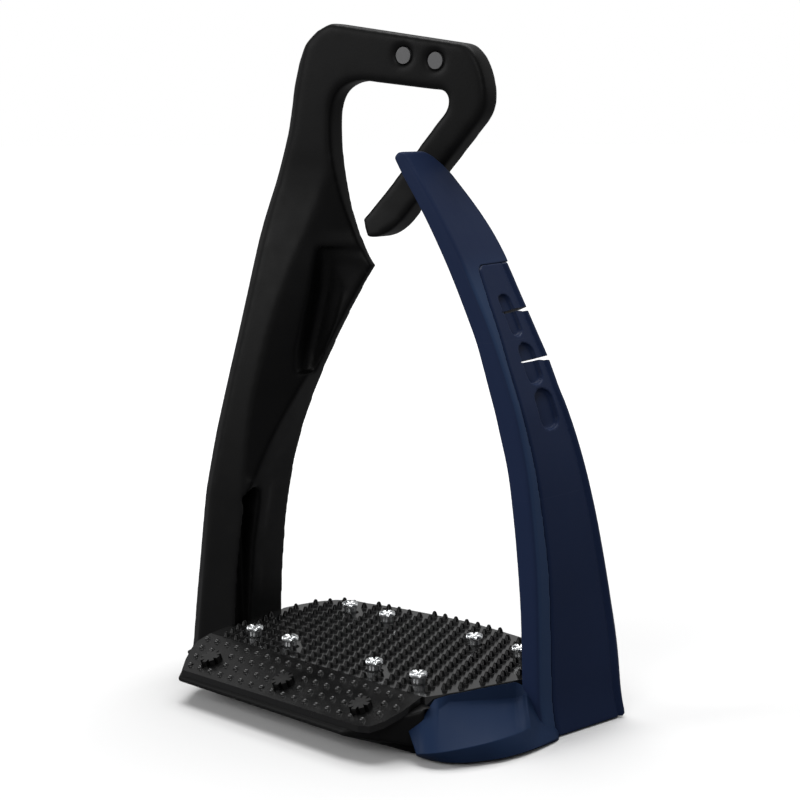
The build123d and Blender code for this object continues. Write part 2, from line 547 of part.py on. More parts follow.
# ================================================================ corner shoe
# z, x-y outlines of the shoe round the arm's foot and the footbed's front corner
SHOE = [
    (0.0, [(38.0, -46.0), (43.0, -47.0), (47.6, -46.3), (51.4, -44.0), (54.8, -40.2),
           (58.2, -36.0), (60.7, -30.5), (62.8, -24.0), (64.9, -17.0), (66.6, -9.5),
           (67.3, -2.0), (66.8, 7.0), (65.4, 14.5), (62.5, 16.5), (52.0, 16.5), (47.0, 0.0)]),
    (1.4, [(38.5, -49.4), (44.3, -50.9), (49.4, -50.1), (53.4, -47.8), (56.9, -43.8),
           (60.4, -39.4), (62.9, -33.4), (64.8, -26.5), (67.0, -19.5), (69.2, -12.0),
           (70.2, -3.3), (69.7, 7.2), (68.4, 15.5), (65.0, 18.5), (52.0, 18.5), (47.0, 0.0)]),
    (3.6, [(41.0, -53.6), (46.0, -54.6), (51.6, -53.6), (55.2, -51.2), (58.9, -46.8),
           (62.3, -42.0), (65.1, -35.8), (67.0, -28.6), (69.0, -19.8), (70.5, -10.5),
           (71.3, -1.5), (71.0, 8.0), (69.5, 16.8), (66.0, 19.6), (52.0, 19.6), (47.0, 0.0)]),
    (6.6, [(42.0, -56.2), (47.7, -57.4), (52.9, -55.6), (56.0, -53.0), (59.9, -47.8),
           (63.0, -42.6), (65.9, -36.2), (67.6, -29.3), (69.4, -20.0), (70.8, -10.0),
           (71.5, -1.0), (71.2, 8.0), (69.8, 17.0), (66.0, 20.0), (52.0, 20.0), (47.0, 0.0)]),
    (10.5, [(42.0, -56.2), (47.7, -57.4), (52.9, -55.6), (56.0, -53.0), (59.9, -47.8),
            (63.0, -42.6), (65.6, -34.2), (66.0, -27.8), (62.2, -18.0), (64.1, -9.5),
            (66.4, -0.8), (68.6, 7.8), (69.4, 14.5), (66.0, 18.0), (52.0, 18.0), (47.0, 0.0)]),
]
SHOE_TOP = 16.4
FACET_POINT, FACET_NORMAL = (53.52, -41.08, 9.6), (0.19, -0.30, 0.935)
SKIRT_TOP = 8.0
# x, y ground beside the arm, where the shoe is only a low skirt
SKIRT = [(50, -17.3), (90, -17.3), (90, 40), (40, 40), (40, 0)]
# x, y footbed side the shoe is trimmed to (tread frame)
FOOTBED_FACE = [(-100, -100), (35.2, -100), (35.2, -53.0), (38.9, -49.4), (52.5, -36.3),
                (53.7, -23.9), (55.1, -14.0), (56.95, -2.8), (56.95, 60), (-100, 60)]


def corner_shoe():
    foot_sleeve = arm_stack(FOOT_BASE, FOOT_TOP, sleeve_section)
    shoe = stack(SHOE + [(SHOE_TOP, SHOE[-1][1])])
    shoe -= Plane(origin=FACET_POINT, z_dir=FACET_NORMAL) * Pos(0, 0, 25) * Box(200, 200, 50)
    shoe -= prism_z(SKIRT, SKIRT_TOP, 30)
    footbed_side = YAW * prism_z(FOOTBED_FACE, -2, 40)
    shoe -= footbed_side
    shoe += foot_sleeve - footbed_side
    # room for the panel's foot, then for blade and clamp
    shoe -= arm_stack(4.9, 25.5, panel_cavity_section)
    shoe -= arm_stack(2.2, 25.5, blade_cavity_section)
    return drill_bolts(shoe, 55.0, 2.3, 12)


# ================================================================ blade anchor (tread frame)
# x of the blade's outer face at its foot, turned back into the tread frame
blade_foot_x, blade_foot_y = arm_at(8, 12, BLADE_OUT)
BLADE_FACE_X = cos(radians(TREAD_YAW)) * blade_foot_x - sin(radians(TREAD_YAW)) * blade_foot_y


def spring_blade():
    return drill_bolts(arm_stack(2.5, 150.0, blade_section), 50.0, BOLT_HOLE_R, 20)


def blade_clamp_plate():
    plate = YAW * prism_x(rectangle(6.0, 26.2, 5.2, 13.2),
                          BLADE_FACE_X + 0.05, BLADE_FACE_X + 1.55)
    for y, z in BOLTS:
        plate -= YAW * rod((50.0, y, z), ALONG_X, BOLT_HOLE_R, 20)
        plate -= YAW * (Pos(BLADE_FACE_X + 0.9, y, z) * Rot(0, 90, 0) * Cone(2.1, 3.5, 1.4))
    return plate


def blade_bolt(y, z):
    """Countersunk bolt with a hexagonal socket in its outer end."""
    tip_x, head_x = 46.5, BLADE_FACE_X + 1.5
    bolt = (rod((tip_x, y, z), ALONG_X, 2.0, head_x - tip_x)
            + Pos(BLADE_FACE_X + 0.87, y, z) * Rot(0, 90, 0) * Cone(2.0, 3.3, 1.26))
    socket = extrude(RegularPolygon(1.2, 6), amount=-1.2)
    bolt -= Pos(head_x, y, z) * Rot(0, 90, 0) * socket
    return YAW * bolt


def blade_insert(y, z):
    return YAW * (rod((45.0, y, z), ALONG_X, 2.9, 11.6) - rod((44.0, y, z), ALONG_X, 2.05, 20))


def arm_panel_foot():
    panel = arm_stack(FOOT_BASE, FOOT_TOP, panel_section)
    # relieved over the clamp and bolt heads
    panel -= YAW * prism_x(rectangle(5.7, 26.5, 4.0, 13.5), 50, BLADE_FACE_X + 1.7)
    return panel


# ================================================================ build
save("main_frame", main_frame())
save("leather_bar_core", bar_layer(CORE_FRONT, CORE_BACK))
save("leather_bar_cover", bar_layer(CORE_BACK, BAR_BACK))
save("leather_bar_pins", *[bar_pin(x, z) for x, z in PIN_PLACES])
save("top_tread_pad", top_tread_pad())
save("front_ramp_pad", front_ramp_pad())
save("tread_studs", *[tread_stud(x, y) for x, y in STUDS])
save("ramp_studs", *[ramp_stud(x) for x in RAMP_STUDS_X])
save("pad_screws", *[pad_screw(x, y) for x, y in PAD_SCREWS])
save("underside_cover", underside_cover())
save("cover_screws", *[cover_screw(x, y) for x, y in COVER_SCREWS])
save_arm()
save("corner_shoe", corner_shoe())
save("spring_blade", spring_blade())
save("blade_clamp_plate", blade_clamp_plate())
save("blade_bolts", *[blade_bolt(y, z) for y, z in BOLTS])
save("blade_inserts", *[blade_insert(y, z) for y, z in BOLTS])
save("arm_panel_foot", arm_panel_foot())
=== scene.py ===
"""A riding stirrup: a moulded branch at -x, a flexible three-part arm at +x, a footbed between.

+Z is up and the front faces -y. Both sides rise from the footbed and meet above it, where the
leather bar sits. The tread and ramp are turned by TREAD_YAW about z. Pieces are modelled in
millimetres and scaled to metres when they are finished.
"""
import bpy
import bmesh
import math
import numpy as np
from mathutils import Vector, Matrix


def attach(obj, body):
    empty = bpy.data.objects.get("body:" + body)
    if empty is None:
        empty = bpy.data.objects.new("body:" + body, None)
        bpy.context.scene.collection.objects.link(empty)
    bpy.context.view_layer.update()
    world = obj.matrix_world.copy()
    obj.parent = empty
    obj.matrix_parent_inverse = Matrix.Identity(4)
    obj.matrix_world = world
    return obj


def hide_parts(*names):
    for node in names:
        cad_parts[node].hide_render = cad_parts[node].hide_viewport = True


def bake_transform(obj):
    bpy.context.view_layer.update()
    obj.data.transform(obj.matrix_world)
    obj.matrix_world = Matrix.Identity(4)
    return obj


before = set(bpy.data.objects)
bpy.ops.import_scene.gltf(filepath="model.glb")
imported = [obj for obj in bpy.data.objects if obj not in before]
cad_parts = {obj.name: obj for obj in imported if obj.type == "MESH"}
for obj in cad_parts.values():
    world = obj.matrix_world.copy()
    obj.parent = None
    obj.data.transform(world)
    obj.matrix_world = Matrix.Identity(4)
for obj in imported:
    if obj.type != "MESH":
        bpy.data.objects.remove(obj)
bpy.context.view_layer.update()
MM = 0.001
ROOT = "frame_and_footbed"

# ---------------------------------------------------------------- tread and ramp (mm)
# Outlines and stud places are (x, y) in the tread's own turned axes.
TREAD_YAW = math.radians(15.0)
TREAD_Z = 17.0
RAMP_Y, LIP_Y = -34.1, -52.4  # back and front edge of the ramp
RAMP_SLOPE = math.radians(20.0)
PAD = [(-49.3, RAMP_Y), (49.6, RAMP_Y), (51.2, -29.0), (52.6, -22.6), (53.8, -14.0), (55.2, -6.5),
       (56.4, -1.5), (56.6, 8.0), (56.4, 16.0), (54.6, 23.6), (50.4, 27.6), (43.7, 28.6),
       (35.0, 30.8), (24.6, 32.5), (12.5, 33.8), (0, 34.6), (-12.5, 33.8), (-24.6, 32.2),
       (-35.0, 30.6), (-43.7, 28.2), (-50.6, 27.4), (-55.0, 23.6), (-57.4, 18.2), (-58.5, 12.0),
       (-58.9, 5.0), (-58.0, -1.5), (-56.0, -8.6), (-54.2, -16.5), (-52.8, -24.0)]
RAMP = [(-49.5, RAMP_Y), (-50.0, -38.8), (-48.6, -42.2), (-44.8, -47.6), (-40.6, LIP_Y + 0.2),
        (40.8, LIP_Y + 0.6), (44.6, -50.8), (47.0, -47.6), (48.4, -42.0), (48.6, RAMP_Y)]
TREAD_STUDS = [(-36.4, -26.4), (-19.0, -26.4), (19.4, -26.0), (38.4, -26.0),
               (-38.4, 15.6), (-20.2, 15.6), (19.8, 15.6), (39.4, 15.6)]
RAMP_STUDS = [(-34.4, -45.2), (0.6, -45.2), (35.0, -45.2)]

# ---------------------------------------------------------------- flexible arm (mm)
# A place on the arm is (z, s, t): s runs back from the front face in mm, and t is the share
# of the thickness, from 0 on the inner face to 1 on the outer face.
ARM_Y = -17.5  # front face
FOOT_Z, ARM_TOP = 0.3, 169.5
PANEL_TOP = 136.5
# z, inner x, outer x, turn of the section from +y towards +x in degrees, front-to-back length
ARM_STATIONS = [
    (0, 54.7, 60.7, 15.0, 37.3), (12, 54.7, 60.6, 15.0, 36.3), (25, 54.6, 60.4, 13.6, 35.7),
    (35, 54.4, 60.3, 12.1, 34.6), (50, 53.4, 59.8, 10.2, 32.8), (65, 51.9, 58.5, 8.4, 31.4),
    (80, 49.7, 56.5, 6.5, 29.9), (88, 47.7, 54.8, 5.5, 29.0), (95, 45.9, 53.1, 4.5, 28.0),
    (101, 44.1, 51.1, 3.8, 27.3), (107.9, 42.05, 48.6, 3.0, 27.3), (115, 39.8, 45.9, 2.0, 26.7),
    (122.0, 36.9, 42.9, 1.7, 26.1), (129, 33.9, 39.6, 1.5, 25.8), (135, 31.2, 36.4, 1.3, 25.5),
    (140, 28.6, 33.7, 1.1, 25.2), (145, 25.9, 30.7, 0.9, 24.8), (150, 23.1, 27.6, 0.7, 23.8),
    (155, 20.1, 24.5, 0.5, 22.4), (160, 16.9, 21.2, 0.4, 20.4), (162, 15.5, 19.9, 0.3, 19.3),
    (165, 13.4, 18.0, 0.2, 19.3), (ARM_TOP, 10.9, 15.4, 0.0, 18.8)]
# z, s of the seam between sleeve and panel
SEAM = [(0, 5.6), (50, 5.4), (80, 3.9), (95, 3.0), (107.9, 3.3), (125, 5.2), (137, 7.6)]
SEAM_ROUND = 2.0  # radius where the seam turns over the panel's top
# z, front s, back s of the spring blade
BLADE = [(0, 8.0, 30.0), (25, 7.0, 29.0), (50, 5.0, 22.0), (80, 3.2, 13.4), (95, 2.6, 9.6),
         (150, 2.6, 9.4)]
BLADE_T0, BLADE_T1 = 0.34, 0.60  # blade slot through the thickness
BLADE_GAP_FRONT, BLADE_GAP_BACK = 0.1, 0.12
# s, outward swell of the outer face at the foot, fading out at FLARE_TOP
FLARE = [(0, 1.8), (6, 1.9), (12, 2.7), (18, 3.1), (24, 2.8), (30, 1.9), (37, 1.1)]
FLARE_TOP = 15.0
# bottom z, top z, front s, back s of the panel's pockets
POCKETS = [(115.9, 127.8, 11.2, 17.4), (101.9, 113.6, 11.4, 19.4), (88.9, 100.4, 11.6, 20.8)]
POCKET_DEPTH = 0.35  # share of the thickness
# z, gap at the front end, widening towards the back, s of the front end, rise per mm of x
SLITS = [(107.9, 0.46, 1.6, 10.6, 0.29), (122.0, 0.70, 1.7, 10.2, 0.44)]
# heights where arm pieces are divided, and per piece: lower body, upper body, blend z range
ARM_CUTS = (70.0, 115.0)
ARM_ZONES = [(ROOT, "arm_lower", 14.0, 62.0), ("arm_lower", "arm_middle", 106.9, 108.1),
             ("arm_middle", "arm_upper", 120.9, 122.2)]


def trim_stations(rows):
    """Adjusts the measured stations, then evens out the bend below the tip."""
    out = []
    for z, inner, outer, turn, length in rows:
        tip = max(0.0, min(1.0, (z - 130) / 12.0, (ARM_TOP - z) / 8.0))
        inner = inner - 0.4 * min(1.0, z / 30.0) * (1 if z < 150 else 0.5)
        low = 0.45 if z < 60 else 0.45 * max(0.0, (80 - z) / 20)
        out.append((z, inner, outer + 0.75 * tip, turn, length + low + tip))

    def evened(before, row, after):
        middle = [a + (c - a) * (row[0] - before[0]) / (after[0] - before[0])
                  for a, c in zip(before[1:], after[1:])]
        return (row[0], *(0.5 * b + 0.5 * m for b, m in zip(row[1:], middle)))

    for _ in range(2):
        out = [evened(out[i - 1], row, out[i + 1]) if 124 < row[0] < 166 else row
               for i, row in enumerate(out)]
    return out


ARM = trim_stations(ARM_STATIONS)


# ---------------------------------------------------------------- measuring
def along(table, z, column=1):
    """Straight-line reading of a table keyed by its first column."""
    if z <= table[0][0]:
        return table[0][column]
    for a, b in zip(table, table[1:]):
        if z <= b[0]:
            f = (z - a[0]) / (b[0] - a[0])
            return a[column] + f * (b[column] - a[column])
    return table[-1][column]


def curve(table, z, column):
    """Smooth cubic through the table's rows, without overshoot."""
    keys = [row[0] for row in table]
    vals = [row[column] for row in table]
    last = len(keys) - 1
    if z <= keys[0]:
        return vals[0]
    if z >= keys[-1]:
        return vals[-1]
    i = min(max(j for j in range(len(keys)) if keys[j] <= z), last - 1)

    def slope(j):
        if j == 0:
            return (vals[1] - vals[0]) / (keys[1] - keys[0])
        if j == last:
            return (vals[-1] - vals[-2]) / (keys[-1] - keys[-2])
        h0, h1 = keys[j] - keys[j - 1], keys[j + 1] - keys[j]
        d0, d1 = (vals[j] - vals[j - 1]) / h0, (vals[j + 1] - vals[j]) / h1
        if d0 * d1 <= 0:
            return 0.0
        return (d0 * h1 + d1 * h0) / (h0 + h1)

    h = keys[i + 1] - keys[i]
    u = (z - keys[i]) / h
    m0, m1 = slope(i) * h, slope(i + 1) * h
    return (vals[i] * (2 * u**3 - 3 * u**2 + 1) + m0 * (u**3 - 2 * u**2 + u)
            + vals[i + 1] * (-2 * u**3 + 3 * u**2) + m1 * (u**3 - u**2))


def ease(x, start, end):
    u = np.clip((x - start) / (end - start), 0, 1)
    return u * u * (3 - 2 * u)


def arm_at(z, s, t):
    """Point of the arm at (z, s, t)."""
    inner, outer, turn = (curve(ARM, z, column) for column in (1, 2, 3))
    turn = math.radians(turn)
    fade = max(0.0, 1 - max(z, 0.0) / FLARE_TOP) ** 2
    flare = along(FLARE, s) * fade * max(0.0, (t - BLADE_T1) / (1 - BLADE_T1))
    return (inner + t * (outer - inner) + flare + s * math.sin(turn),
            ARM_Y + s * math.cos(turn), z)


def arm_thickness(z):
    return curve(ARM, z, 2) - curve(ARM, z, 1)


def arm_length(z):
    return curve(ARM, z, 4)


def from_tread(x, y, z=0.0):
    """Turns a point in the tread's axes into the frame's."""
    c, s = math.cos(TREAD_YAW), math.sin(TREAD_YAW)
    return (c * x + s * y, -s * x + c * y, z)


def inside(pt, outline):
    x, y = pt
    odd = False
    for (x0, y0), (x1, y1) in zip(outline, outline[1:] + outline[:1]):
        if (y0 > y) != (y1 > y) and x < (x1 - x0) * (y - y0) / (y1 - y0) + x0:
            odd = not odd
    return odd


def edge_distance(pt, outline):
    p = Vector(pt)
    best = 1e9
    for a, b in zip(outline, outline[1:] + outline[:1]):
        a, b = Vector(a), Vector(b)
        d = b - a
        t = max(0, min(1, (p - a).dot(d) / d.length_squared))
        best = min(best, (a + d * t - p).length)
    return best


# ---------------------------------------------------------------- mesh tools
def link_mesh(name, mesh):
    obj = bpy.data.objects.new(name, mesh)
    bpy.context.scene.collection.objects.link(obj)
    return obj


def new_object(name, verts, faces):
    mesh = bpy.data.meshes.new(name)
    mesh.from_pydata([tuple(v) for v in verts], [], faces)
    mesh.validate()
    mesh.update()
    return link_mesh(name, mesh)


def fix_normals(obj):
    bm = bmesh.new()
    bm.from_mesh(obj.data)
    bmesh.ops.remove_doubles(bm, verts=bm.verts, dist=1e-5)
    bmesh.ops.recalc_face_normals(bm, faces=bm.faces)
    bm.to_mesh(obj.data)
    bm.free()
    obj.data.update()


def add_tube(verts, faces, rings):
    """Adds a capped tube through rings with equal point counts."""
    start, n = len(verts), len(rings[0])
    for ring in rings:
        verts.extend(ring)
    for i in range(len(rings) - 1):
        a, b = start + i * n, start + (i + 1) * n
        for j in range(n):
            k = (j + 1) % n
            faces.append((a + j, a + k, b + k, b + j))
    faces.append(tuple(start + j for j in range(n))[::-1])
    faces.append(tuple(start + (len(rings) - 1) * n + j for j in range(n)))


def sweep(name, rings):
    """Closed solid through the rings."""
    verts, faces = [], []
    add_tube(verts, faces, rings)
    obj = new_object(name, verts, faces)
    fix_normals(obj)
    return obj


def prism_x(outline, x0, x1):
    """Solid along x with a (y, z) outline."""
    return sweep("cut", [[(x, y, z) for y, z in outline] for x in (x0, x1)])


def stack_z(layers):
    """Solid through (z, [(x, y), ...]) layers."""
    return sweep("cut", [[(x, y, z) for x, y in outline] for z, outline in layers])


def bake(obj):
    """Applies the modifiers."""
    depsgraph = bpy.context.evaluated_depsgraph_get()
    mesh = bpy.data.meshes.new_from_object(obj.evaluated_get(depsgraph), depsgraph=depsgraph)
    old = obj.data
    obj.modifiers.clear()
    obj.data = mesh
    if old.users == 0:
        bpy.data.meshes.remove(old)


def boolean(obj, tools, operation="DIFFERENCE"):
    """Applies each tool solid in turn and removes it."""
    for tool in tools:
        mod = obj.modifiers.new("b", "BOOLEAN")
        mod.operation = operation
        mod.object = tool
        mod.solver = "EXACT"
        bake(obj)
        bpy.data.objects.remove(tool)


def remesh(obj, size):
    mod = obj.modifiers.new("r", "REMESH")
    mod.mode = "VOXEL"
    mod.voxel_size = size
    mod.use_smooth_shade = True
    bake(obj)


def thin(obj, ratio):
    mod = obj.modifiers.new("d", "DECIMATE")
    mod.ratio = ratio
    bake(obj)


def relax(obj, passes, weight=np.ones_like):
    """Rounds edges by averaging neighbours, with a weight that depends on z."""
    mesh = obj.data
    count = len(mesh.vertices)
    co = np.zeros(count * 3)
    mesh.vertices.foreach_get("co", co)
    co = co.reshape(-1, 3)
    edges = np.zeros(len(mesh.edges) * 2, np.int64)
    mesh.edges.foreach_get("vertices", edges)
    a, b = edges.reshape(-1, 2).T
    degree = np.bincount(edges, minlength=count).astype(float)
    degree[degree == 0] = 1
    step = (0.5 * weight(co[:, 2]))[:, None]
    for _ in range(passes):
        total = np.stack([np.bincount(a, weights=co[b, k], minlength=count)
                          + np.bincount(b, weights=co[a, k], minlength=count)
                          for k in range(3)], 1)
        co = co + step * (total / degree[:, None] - co)
    mesh.vertices.foreach_set("co", co.ravel())
    mesh.update()


def mark_sharp(obj, degrees):
    bm = bmesh.new()
    bm.from_mesh(obj.data)
    limit = math.radians(degrees)
    for e in bm.edges:
        e.smooth = not (len(e.link_faces) == 2 and e.calc_face_angle(0.0) > limit)
    bm.to_mesh(obj.data)
    bm.free()


def finish_piece(obj, name, slot, sharp, body=ROOT, look=None):
    """Scales to metres, shades, and gives the piece the material named by slot or look, and its
    body when one is given.
    """
    obj.data.transform(Matrix.Scale(MM, 4))
    obj.name = name
    obj.data.name = name
    obj.data.materials.clear()
    obj.data.materials.append(MATERIALS[look or slot])
    for face in obj.data.polygons:
        face.use_smooth = True
    mark_sharp(obj, sharp)
    if body:
        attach(obj, body)


# ---------------------------------------------------------------- shader tools
def set_inputs(tree, node, inputs):
    """Gives each input its value, or links it from a socket."""
    for key, value in inputs.items():
        if isinstance(value, bpy.types.NodeSocket):
            tree.links.new(value, node.inputs[key])
        else:
            node.inputs[key].default_value = value


def add_node(tree, kind, inputs=None, **settings):
    node = tree.nodes.new("ShaderNode" + kind)
    for name, value in settings.items():
        setattr(node, name, value)
    set_inputs(tree, node, inputs or {})
    return node


def noise(tree, vector, scale, detail):
    inputs = {"Scale": scale, "Detail": detail, "Vector": vector}
    return add_node(tree, "TexNoise", inputs).outputs["Fac"]


def mix_colours(tree, factor, a, b):
    inputs = {"Factor": factor, "A": a, "B": b}
    return add_node(tree, "Mix", inputs, data_type="RGBA").outputs["Result"]


def multiply(tree, a, b):
    return add_node(tree, "Math", {0: a, 1: b}, operation="MULTIPLY").outputs[0]


def map_range(tree, value, from_range, to_range, interpolation="SMOOTHSTEP"):
    inputs = {"Value": value, "From Min": from_range[0], "From Max": from_range[1],
              "To Min": to_range[0], "To Max": to_range[1]}
    node = add_node(tree, "MapRange", inputs, interpolation_type=interpolation)
    return node.outputs["Result"]


# ---------------------------------------------------------------- materials
MATERIALS = {}


def material(name, base, rough, *, grain, depth, grain_scale=900.0, tint=None, rough_var=0.08,
             metallic=0.0, spec=0.5, streak=(1, 1, 1),
             wear=None, wear_from=0.53, wear_to=0.62, wear_amount=0.7):
    """Surface with a drifting tint and roughness, fine grain and optional rubbed edges.

    base, tint, wear: colours; grain, depth (mm): bump strength and height; rough_var: drift
    either side of rough; streak: noise stretch per axis; wear_from, wear_to: pointiness range.
    """
    made = bpy.data.materials.new(name)
    made.use_nodes = True
    tree = made.node_tree
    bsdf = tree.nodes["Principled BSDF"]
    coords = add_node(tree, "TexCoord").outputs["Object"]
    mapping = add_node(tree, "Mapping", {"Vector": coords, "Scale": streak})
    vector = mapping.outputs["Vector"]
    broad = noise(tree, vector, scale=35.0, detail=4.0)
    tint = tint or tuple(min(1.0, c * 1.22 + 0.0008) for c in base)
    colour = mix_colours(tree, broad, (*base, 1), (*tint, 1))
    if wear:
        geometry = add_node(tree, "NewGeometry")
        ramp = add_node(tree, "ValToRGB", {"Fac": geometry.outputs["Pointiness"]})
        ramp.color_ramp.elements[0].position = wear_from
        ramp.color_ramp.elements[1].position = wear_to
        patches = noise(tree, coords, scale=260.0, detail=3.0)
        edges = multiply(tree, ramp.outputs["Color"], patches)
        amount = multiply(tree, edges, wear_amount)
        colour = mix_colours(tree, amount, colour, (*wear, 1))
    handled = noise(tree, vector, scale=140.0, detail=5.0)
    rough_range = (max(0.02, rough - rough_var), min(1.0, rough + rough_var))
    roughness = map_range(tree, handled, (0.3, 0.7), rough_range, "LINEAR")
    fine = noise(tree, vector, scale=grain_scale, detail=2.0)
    bump = add_node(tree, "Bump", {"Strength": grain, "Distance": depth * MM, "Height": fine})
    set_inputs(tree, bsdf, {"Metallic": metallic, "Specular IOR Level": spec,
                            "Base Color": colour, "Roughness": roughness,
                            "Normal": bump.outputs["Normal"]})
    MATERIALS[name] = made


# moulded parts with rubbed edges
material("frame_moulded_black", (0.0034, 0.0034, 0.0035), 0.44, rough_var=0.05, spec=0.11,
         grain=0.35, grain_scale=1500, depth=0.04,
         wear=(0.022, 0.022, 0.023), wear_from=0.52, wear_to=0.60, wear_amount=0.6)
material("navy_elastomer", (0.0136, 0.0243, 0.0655), 0.48, rough_var=0.05, spec=0.09,
         tint=(0.0156, 0.0276, 0.0730), grain=0.3, grain_scale=1400, depth=0.04,
         wear=(0.030, 0.042, 0.085))
material("navy_hard_shell", (0.0104, 0.0198, 0.0560), 0.44, rough_var=0.05, spec=0.09,
         tint=(0.0120, 0.0228, 0.0635), grain=0.25, grain_scale=1600, depth=0.03,
         wear=(0.032, 0.046, 0.092))
material("shoe_navy", (0.0132, 0.0262, 0.0640), 0.40, rough_var=0.05, spec=0.05,
         tint=(0.0142, 0.0292, 0.0710), grain=0.25, grain_scale=1600, depth=0.03,
         wear=(0.030, 0.050, 0.095))
# tread and ramp
material("tread_black", (0.0065, 0.0065, 0.0067), 0.15, rough_var=0.04, spec=0.75,
         grain=0.2, grain_scale=1100, depth=0.03)
material("ramp_black", (0.0030, 0.0030, 0.0031), 0.24, rough_var=0.05, spec=0.32,
         grain=0.35, grain_scale=1100, depth=0.04)
material("spike_black", (0.0016, 0.0016, 0.0017), 0.20, rough_var=0.05, spec=0.14,
         grain=0.2, grain_scale=1200, depth=0.02)
material("dome_black", (0.0040, 0.0040, 0.0041), 0.13, rough_var=0.04, spec=0.55,
         grain=0.2, grain_scale=1200, depth=0.02)
# studs, fasteners and inner parts
material("stud_steel", (0.60, 0.61, 0.62), 0.26, rough_var=0.06, metallic=0.96,
         tint=(0.70, 0.72, 0.73), grain=0.2, grain_scale=700, depth=0.02)
material("ramp_stud_black", (0.008, 0.008, 0.008), 0.34, metallic=0.4,
         grain=0.5, grain_scale=700, depth=0.05)
material("screw_steel", (0.52, 0.53, 0.54), 0.30, metallic=1.0,
         grain=0.3, grain_scale=600, depth=0.03)
material("spring_steel", (0.0015, 0.0016, 0.0020), 0.60, spec=0.05,
         grain=0.4, depth=0.03, streak=(1, 1, 12))
material("core_steel", (0.42, 0.43, 0.44), 0.36, metallic=1.0,
         grain=0.4, depth=0.03, streak=(8, 1, 1))
material("pin_grey", (0.105, 0.105, 0.107), 0.42, metallic=0.25, grain=0.3, depth=0.03)
material("cover_black", (0.010, 0.010, 0.0105), 0.55, grain=0.7, depth=0.08)
material("insert_brass", (0.58, 0.40, 0.16), 0.32, metallic=1.0, grain=0.4, depth=0.03)


def paint_outer_band_highlight(made):
    """Paints a highlight: faces that look outwards get a lighter navy, fading out near the
    panel's top.
    """
    tree = made.node_tree
    bsdf = tree.nodes["Principled BSDF"]
    colour = bsdf.inputs["Base Color"].links[0].from_socket
    normal = add_node(tree, "NewGeometry").outputs["Normal"]
    outwards = (0.95, -0.15, 0.26)
    facing = add_node(tree, "VectorMath", {0: normal, 1: outwards}, operation="DOT_PRODUCT")
    side = map_range(tree, facing.outputs["Value"], (0.62, 0.90), (0.0, 1.0))
    coords = add_node(tree, "TexCoord").outputs["Object"]
    height = add_node(tree, "SeparateXYZ", {"Vector": coords}).outputs["Z"]
    below = map_range(tree, height, (0.128, 0.142), (1.0, 0.0))  # metres
    band = multiply(tree, side, below)
    # painted highlight: a lighter navy on the outward faces, in place of light caught along the
    # outer front edge
    lighter = mix_colours(tree, band, colour, (0.0265, 0.0500, 0.1120, 1.0))
    set_inputs(tree, bsdf, {"Base Color": lighter})


# paints a highlight band on the sleeve's outward faces
paint_outer_band_highlight(MATERIALS["navy_elastomer"])


# ---------------------------------------------------------------- pieces kept as loaded
# name: (slot, angle in degrees above which an edge stays crisp)
CARRIED = {
    "leather_bar_core": ("core_steel", 28.0), "leather_bar_cover": ("cover_black", 28.0),
    "leather_bar_pins": ("pin_grey", 28.0), "top_tread_pad": ("tread_black", 14.0),
    "front_ramp_pad": ("ramp_black", 14.0), "pad_screws": ("screw_steel", 28.0),
    "underside_cover": ("cover_black", 28.0), "cover_screws": ("screw_steel", 28.0),
    "blade_clamp_plate": ("core_steel", 28.0), "blade_bolts": ("screw_steel", 28.0),
    "blade_inserts": ("insert_brass", 28.0), "ramp_studs": ("ramp_stud_black", 28.0)}


def carry(name, slot, crisp):
    """Shades a loaded piece through modifiers, so its mesh stays as it is."""
    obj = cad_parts[name]
    obj.data.materials.clear()
    obj.data.materials.append(MATERIALS[slot])
    for face in obj.data.polygons:
        face.use_smooth = True
    weld = obj.modifiers.new("weld", "WELD")
    weld.merge_threshold = 2e-6
    split = obj.modifiers.new("edges", "EDGE_SPLIT")
    split.split_angle = math.radians(crisp)
    split.use_edge_sharp = False


for piece, (piece_slot, piece_crisp) in CARRIED.items():
    carry(piece, piece_slot, piece_crisp)

# ---------------------------------------------------------------- branch and footbed
# z, x of the branch's inner face
BRANCH_INNER = [(6.0, -55.6), (20.0, -55.4), (42.3, -53.3), (66.0, -48.9)]
# z, y of the branch's front and back faces
BRANCH_FRONT = [(60, -8.0), (100, -4.5), (140, 0.6)]
BRANCH_BACK = [(60, 17.0), (100, 15.0), (140, 12.2)]
# z, inner x of the knee where the branch bends inwards
KNEE = [(92, -38.8), (103.6, -32.6), (113, -27.0), (121.5, -21.9), (133.8, -13.2), (145, -18.6)]
# (y, z) outline of the groove in the inner face, hard against the front edge
GROOVE = [(-7.9, 10), (-7.6, 58.5), (-6.9, 60.9), (-5.2, 62.4), (-3.4, 62.4), (-1.9, 60.9),
          (-1.2, 58.5), (-0.6, 10)]
# z, outer x, depth of the knee relief
KNEE_RELIEF = [(99, -38.6, 1.4), (103, -38.3, 2.4), (106, -38.0, 3.2), (116, -35.4, 4.0),
               (126, -32.4, 4.0), (134, -30.6, 3.0), (139.5, -29.4, 1.2)]
# (x, y) outline cut off the footbed's +x end, where the corner shoe wraps it
FOOTBED_END = [(41.2, -49.4), (38.9, -45.9), (41.6, -41.4), (44.6, -35.6), (48.0, -27.6),
               (51.3, -20.7), (53.7, -16.4), (80, -16.4), (80, -60), (52, -60)]


def relief_filler():
    """Fills the loaded relief down the branch's inner face."""
    layers = []
    for z in (14.5, 20, 30, 42.3, 54, 60, 65):
        face = along(BRANCH_INNER, z) - 0.05
        layers.append((z, [(-60, -7.2), (face, -7.2), (face, 4.6), (-60, 4.6)]))
    return stack_z(layers)


